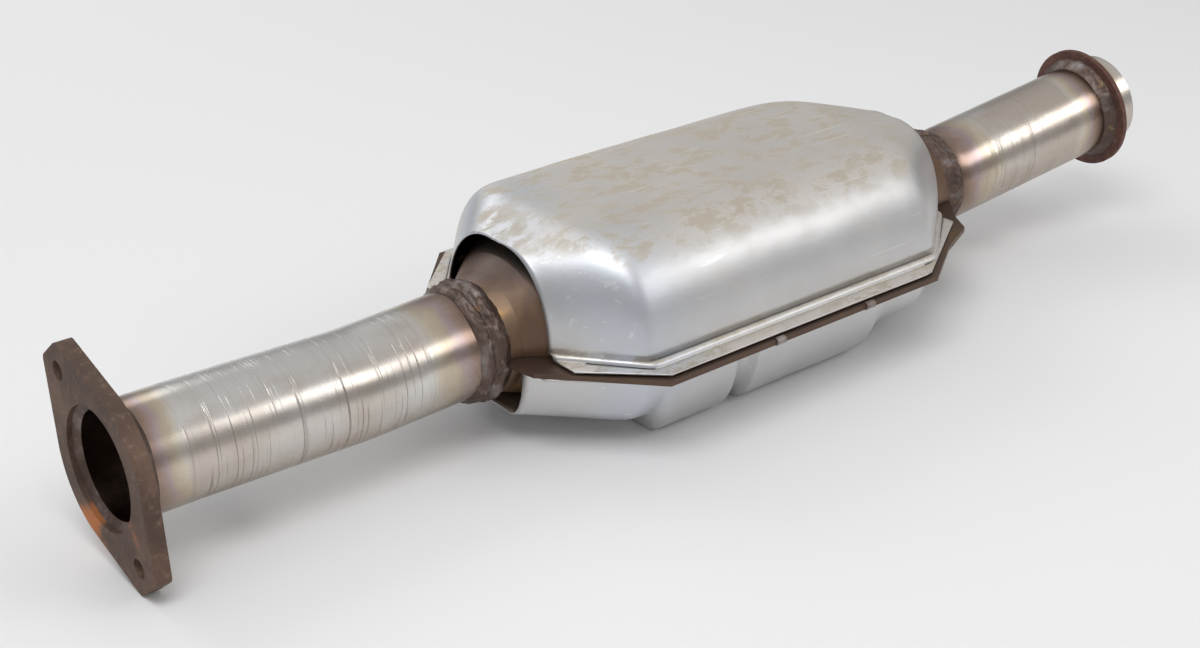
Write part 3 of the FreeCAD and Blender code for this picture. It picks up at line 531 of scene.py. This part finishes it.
def lower_form(x, turn):
    """Half width, floor and depth of the lower shield: a deep tray with one groove across."""
    start, half = DOWN_LOW.x, CHIN_HALF if x < FACET_FRONT else MOUTH_HALF
    share = share_of_full(x, start, 0.05 + 0.10 * turn)
    full = DOWN_HIGH.z - DOWN_LOW.z
    ramp = min(x - TRAY_FRONT, TRAY_REAR - x) / TRAY_RAMP
    ramp = min(max(ramp, 0.0), 1.0)
    depth = full - TRAY_DROP * (1 - ramp * ramp * (3 - 2 * ramp))
    if x < FACET_FRONT:
        depth -= CHIN_RISE * (1 - share)
    groove = GROOVE_DEEP * max(0.0, 1.0 - (abs(x - GROOVE_AT) / GROOVE_HALF) ** 2)
    wide = half + share * (FOOT_HALF - half) - groove
    return wide, wide * FLOOR_SHARE, depth - groove


# %% [markdown]
# The profile runs from the lip's edge in to the middle and is mirrored for the other side. The
# thickness comes from a Solidify modifier, so the rim of each mouth shows a real sheet's edge. Noise
# moves the points by a few tenths of a millimetre: lips are never quite flat, and old crowns carry
# shallow dents.

# %% Walk the sections
def shield_profile(x, form, way, seed):
    """Points of one section, from the lip's edge to the middle, as pairs of y and height."""
    foot = form(x, 0.0)[0]
    points = []
    bead_edge = foot + BEAD_WIDE
    for step in (0.0, 0.04, 0.35, 0.65, 0.94, 1.0):
        y = lip_reach(x) + (bead_edge + 0.8 * MM - lip_reach(x)) * step
        wave = 0.30 * MM * (0.5 + 0.5 * ripple(x, y, 0.0, scale=38.0, seed=seed)) * (1 - step)
        points.append((y, SHEET + wave))
    for step in range(1, 8):
        angle = math.pi * step / 8
        points.append((foot + BEAD_WIDE / 2 * (1 + math.cos(angle)) + 0.3 * MM,
                       SHEET + BEAD_TALL * (math.sin(angle) ** 0.8 if step < 5 else 0.88) + 0.1 * MM * step))
    low_turn = 0.080
    for step in range(26):
        turn = low_turn + (1 - low_turn) * step / 25
        y, z = shoulder(*form(x, turn), turn)
        dent = 0.35 * MM * ripple(x, y, z, scale=24.0, seed=seed + 5) * min(1.0, turn * 3)
        points.append((y + min(dent, 0.0) * 0.7, z + min(dent, 0.0)))
    edge_y, edge_z = points[-1]
    for step in range(1, 7):
        y = edge_y * (1 - step / 6)
        sag = 0.5 * MM * (0.5 + 0.5 * ripple(x, y, way, scale=17.0, seed=seed + 9))
        points.append((y, edge_z - sag * min(1.0, step / 2)))
    return points


def shield_rows(stations, form, way, base, seed):
    rows = []
    for x in stations:
        half = shield_profile(x, form, way, seed)
        row = [(x, -y, base + way * z) for y, z in half]
        row += [(x, y, base + way * z) for y, z in reversed(half[:-1])]
        rows.append(row)
    return rows


def stations_between(*marks):
    """Stations in metres from pairs of a mark and the number of steps that follow it."""
    found = []
    for (start, steps), (end, _) in zip(marks, marks[1:]):
        found += [start + (end - start) * step / steps for step in range(steps)]
    return found + [marks[-1][0]]


upper_stations = stations_between((MOUTH_START, 16), (FACET_FRONT - 0.004, 10), (FACET_FRONT + 0.006, 46),
                                  (FACET_REAR - 0.006, 10), (FACET_REAR + 0.004, 20), (MOUTH_END, 1))
upper_skin = grid_piece("upper_shield_skin", shield_rows(upper_stations, upper_form, 1, UP_LOW.z, 2.0),
                        False, False, upper_shield_finish, "upper_heat_shield")
lower_stations = stations_between((DOWN_LOW.x, 14), (FACET_FRONT - 0.004, 8), (TRAY_FRONT, 14),
                                  (TRAY_FRONT + TRAY_RAMP, 16), (GROOVE_AT - 0.010, 24),
                                  (GROOVE_AT + 0.010, 30), (TRAY_REAR - TRAY_RAMP, 14),
                                  (TRAY_REAR, 10), (FACET_REAR - 0.004, 8),
                                  (FACET_REAR + 0.004, 16), (MOUTH_END, 1))
lower_skin = grid_piece("lower_shield_skin", shield_rows(lower_stations, lower_form, -1, DOWN_HIGH.z, 6.0),
                        False, False, lower_shield_finish, "lower_heat_shield")
for skin, inward in ((upper_skin, -1.0), (lower_skin, 1.0)):
    thickness = skin.modifiers.new("sheet", "SOLIDIFY")
    thickness.thickness = SHEET
    thickness.offset = inward
    print(skin.name, len(skin.data.polygons), "faces")

# %% [markdown]
# ## Lumpy weld beads
# A hand-made weld isn't a smooth ring. The bead swells and thins as the welder moves, each stop
# leaves a ripple like a stack of coins, and a second pass leaves a second ridge. We turn a short
# profile round the pipe, push it out by slow noise for the swelling, by a fast wave for the ripples,
# and let both fade at the toes, where the bead melts into the pipe.

# %% A bead round a pipe
PIPE = 31.75
STEPS_ROUND = 168


def weld_bead(name, node, place, toes, swell, coins, seed):
    """A ring from pairs of station and height over the pipe, in millimetres, in a frame."""
    rows = []
    profile = [(along, PIPE + height) for along, height in toes]
    inside = min(radius for _, radius in profile) - 0.5
    outline = subdivided(profile, 4)
    for step in range(STEPS_ROUND):
        angle = 2 * math.pi * step / STEPS_ROUND
        side, rise = math.sin(angle), math.cos(angle)
        row = []
        for number, (along, radius) in enumerate(outline):
            body = math.sin(math.pi * number / (len(outline) - 1)) ** 0.6
            slow = ripple(side, rise, along * 0.05, scale=3.2, seed=seed)
            quick = ripple(side, rise, along * 0.09, scale=9.0, seed=seed + 4)
            coin = abs(math.sin(coins * angle / 2 + along * 0.22 + slow)) - 0.6
            out = radius + body * (swell * slow + swell * 0.75 * quick + 0.5 * coin)
            drift = swell * 0.9 * ripple(side, rise, 0.4, scale=2.4, seed=seed + 8)
            row.append(place @ Vector(((along + drift) * MM, out * side * MM, out * rise * MM)))
        for along in (outline[-1][0], outline[0][0]):
            row.append(place @ Vector((along * MM, inside * side * MM, inside * rise * MM)))
        rows.append(row)
    return grid_piece(name, rows, True, True, dark_weld_finish, node)


def subdivided(profile, parts):
    """More points along a profile, on a curve that rounds its corners."""
    found = []
    count = len(profile) - 1
    for i in range(count):
        before, start = profile[max(i - 1, 0)], profile[i]
        end, after = profile[i + 1], profile[min(i + 2, count)]
        for part in range(parts):
            t = part / parts
            found.append(tuple(0.5 * (2 * b + (c - a) * t + (2 * a - 5 * b + 4 * c - d) * t * t
                                      + (3 * b - a - 3 * c + d) * t ** 3)
                               for a, b, c, d in zip(before, start, end, after)))
    return found + [profile[-1]]


def leg_frame(reach):
    """The outlet leg's frame, from the record's bore: X runs along the leg."""
    bore = next(mount for mount in frame["record"]["mounts"] if mount["name"] == "outlet_bore")
    along = Vector(bore["axis"]).normalized()
    near = Vector((0, 0, 1)).cross(along).normalized()
    centre = Vector(bore["pos_m"]) + along * reach
    return Matrix.Translation(centre) @ Matrix((along, near, along.cross(near))).transposed().to_4x4()


FLANGE_TOES = [(9.4, 6.6), (11.0, 4.8), (13.5, 2.2), (17.0, 0.1)]
INLET_TOES = [(214.5, -0.1), (217.5, 2.6), (220.5, 3.2), (223.0, 2.2),
              (225.5, 3.6), (228.5, 4.4), (231.5, 3.4), (235.0, 1.7)]
OUTLET_TOES = [(600.5, 1.7), (604.0, 3.2), (608.0, 4.0), (611.0, 3.4),
               (614.0, 3.2), (617.0, 1.9), (619.5, -0.1)]
COLLAR_TOES = [(-8.0, 0.1), (-4.5, 2.4), (-2.0, 4.4), (0.1, 5.4)]
collar_low, collar_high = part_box("outlet_collar_weld")
from_middle = (Vector(collar_high) + Vector(collar_low)) / 2 - leg_frame(0.0).translation
collar_reach = from_middle.dot(leg_frame(0.0).col[0].to_3d()) + 3.6 * MM
weld_bead("inlet_flange_bead", "inlet_flange_weld", Matrix(), FLANGE_TOES, 0.8, 60, 1.0)
weld_bead("inlet_neck_bead", "inlet_neck_weld", Matrix(), INLET_TOES, 1.7, 46, 2.0)
weld_bead("outlet_neck_bead", "outlet_neck_weld", Matrix(), OUTLET_TOES, 1.7, 46, 3.0)
weld_bead("collar_bead", "outlet_collar_weld", leg_frame(collar_reach), COLLAR_TOES, 0.8, 60, 4.0)
print("beads made; the collar stands", round(collar_reach, 4), "from the middle of the leg's bore")

# %% [markdown]
# ## Table, lamps and world
# The converter lies on the tray of its lower shield, so the table is a wide pale plane at the foot
# of the object's box. It could be a curved backdrop, but a plane that is large enough has no
# horizon in this view and needs no bend.

# %% Table
def pale_table(height):
    mesh = bpy.data.meshes.new("table_top")
    half = 6.0
    corners = [(-half, -half), (half, -half), (half, half), (-half, half)]
    mesh.from_pydata([(x, y, height) for x, y in corners], [], [(0, 1, 2, 3)])
    table = bpy.data.objects.new("table_top", mesh)
    bpy.context.collection.objects.link(table)
    g = Graph("table_finish")
    mesh.materials.append(g.finish((0.86, 0.862, 0.868, 1.0), 0.9, 0.0))
    return table


pale_table(cad_box[0][2])
print("the table stands at", round(cad_box[0][2], 4))

# %% [markdown]
# ## Lamps and world
# Polished metal has hardly any colour of its own: it shows what is round it. Large, weak lamps make
# wide soft highlights on the satin sheet, as window light would. The world is bright overhead and
# darker low down, which gives the flanks of the pipes something dull to mirror.

# %% Lamps and world
def soft_lamp(name, place, target, width, power):
    light = bpy.data.lights.new(name, "AREA")
    light.shape = "RECTANGLE"
    light.size = width
    light.size_y = width * 0.6
    light.energy = power
    lamp = bpy.data.objects.new(name, light)
    lamp.location = place
    lamp.rotation_euler = (Vector(target) - Vector(place)).to_track_quat("-Z", "Y").to_euler()
    bpy.context.collection.objects.link(lamp)
    return lamp


soft_lamp("key_lamp", (-0.3, -0.5, 1.6), (0.35, 0.0, 0.0), 1.1, 11.0)
soft_lamp("fill_lamp", (1.6, -1.4, 1.2), (0.4, 0.0, 0.0), 1.2, 7.0)
soft_lamp("back_lamp", (0.2, 1.7, 1.3), (0.4, 0.0, 0.0), 1.4, 8.0)


def studio_world():
    world = bpy.data.worlds.new("studio")
    bpy.context.scene.world = world
    world.use_nodes = True
    tree = world.node_tree
    tree.nodes.clear()
    out = tree.nodes.new("ShaderNodeOutputWorld")
    background = tree.nodes.new("ShaderNodeBackground")
    coordinates = tree.nodes.new("ShaderNodeTexCoord")
    split = tree.nodes.new("ShaderNodeSeparateXYZ")
    ramp = tree.nodes.new("ShaderNodeValToRGB")
    tree.links.new(coordinates.outputs["Generated"], split.inputs[0])
    tree.links.new(split.outputs["Z"], ramp.inputs[0])
    tree.links.new(ramp.outputs[0], background.inputs["Color"])
    tree.links.new(background.outputs[0], out.inputs["Surface"])
    stops = [(0.0, (0.62, 0.62, 0.62)), (0.25, (0.50, 0.50, 0.51)),
             (0.6, (0.80, 0.80, 0.80)), (1.0, (1.0, 1.0, 1.0))]
    elements = ramp.color_ramp.elements
    while len(elements) < len(stops):
        elements.new(0.5)
    for element, (position, colour) in zip(elements, stops):
        element.position = position
        element.color = (*colour, 1.0)
    background.inputs["Strength"].default_value = 0.66


studio_world()
bpy.context.scene.view_settings.view_transform = "Standard"
print("lamps and world are set")

# %% [markdown]
# ## The camera
# The view looks down along the converter from beside its inlet. The camera is described as it would
# be set up in a studio: where the tripod stands, how far it is turned, tilted and rolled, and the
# lens. A matrix of numbers would do the same, but nobody could read or adjust it.

# %% Camera
TRIPOD = Vector((-0.3400, -0.7907, 0.4956))
TURN, TILT, ROLL = math.radians(40.15), math.radians(26.52), math.radians(0.69)
ahead = Vector((math.sin(TURN) * math.cos(TILT), math.cos(TURN) * math.cos(TILT), -math.sin(TILT)))
level_right = Vector((math.cos(TURN), -math.sin(TURN), 0.0))
level_up = level_right.cross(ahead)
right = level_right * math.cos(ROLL) + level_up * math.sin(ROLL)
up = level_up * math.cos(ROLL) - level_right * math.sin(ROLL)
lens = bpy.data.cameras.new("studio_camera")
lens.lens = 57.53
lens.sensor_width = 36.0
camera = bpy.data.objects.new("studio_camera", lens)
axes = Matrix((right, up, -ahead)).transposed().to_4x4()
camera.matrix_world = Matrix.Translation(TRIPOD) @ axes
bpy.context.collection.objects.link(camera)
bpy.context.scene.camera = camera
print("camera at", TRIPOD, "with a lens of", lens.lens, "mm")
